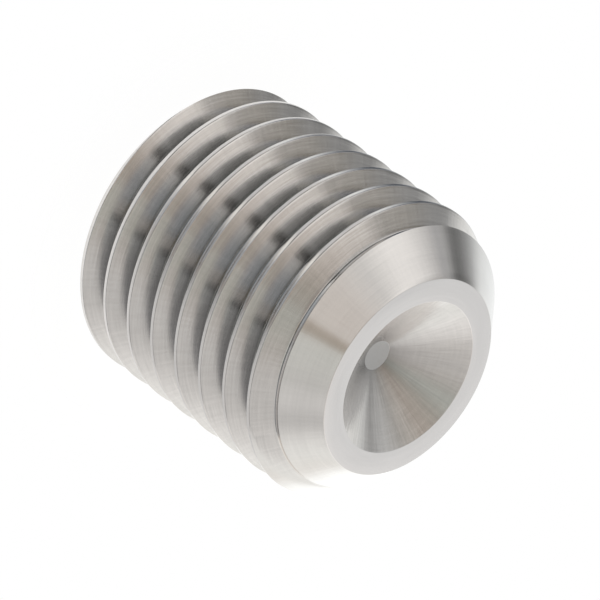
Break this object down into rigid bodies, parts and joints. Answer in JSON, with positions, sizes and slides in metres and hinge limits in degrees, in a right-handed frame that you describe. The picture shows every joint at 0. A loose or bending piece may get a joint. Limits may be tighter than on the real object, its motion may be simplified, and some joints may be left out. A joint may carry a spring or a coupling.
{
  "type": "socket set screw",
  "caption": "Headless steel set screw with an outside thread from end to end, a hexagon socket in one end and a cup point with a flat ring at the other.",
  "frame": {"origin": "centre of the flat face of the socket end, on the screw's axis", "axes": "+Z along the screw's axis from the socket end to the cup point; +X towards one corner of the hexagon socket"},
  "size_m": [0.011, 0.011, 0.011],
  "materials": {
    "steel": "bare stainless steel, turned, with fine rings round the axis"
  },
  "bodies": {
    "root": {"set_screw": "steel"}
  },
  "joints": []
}
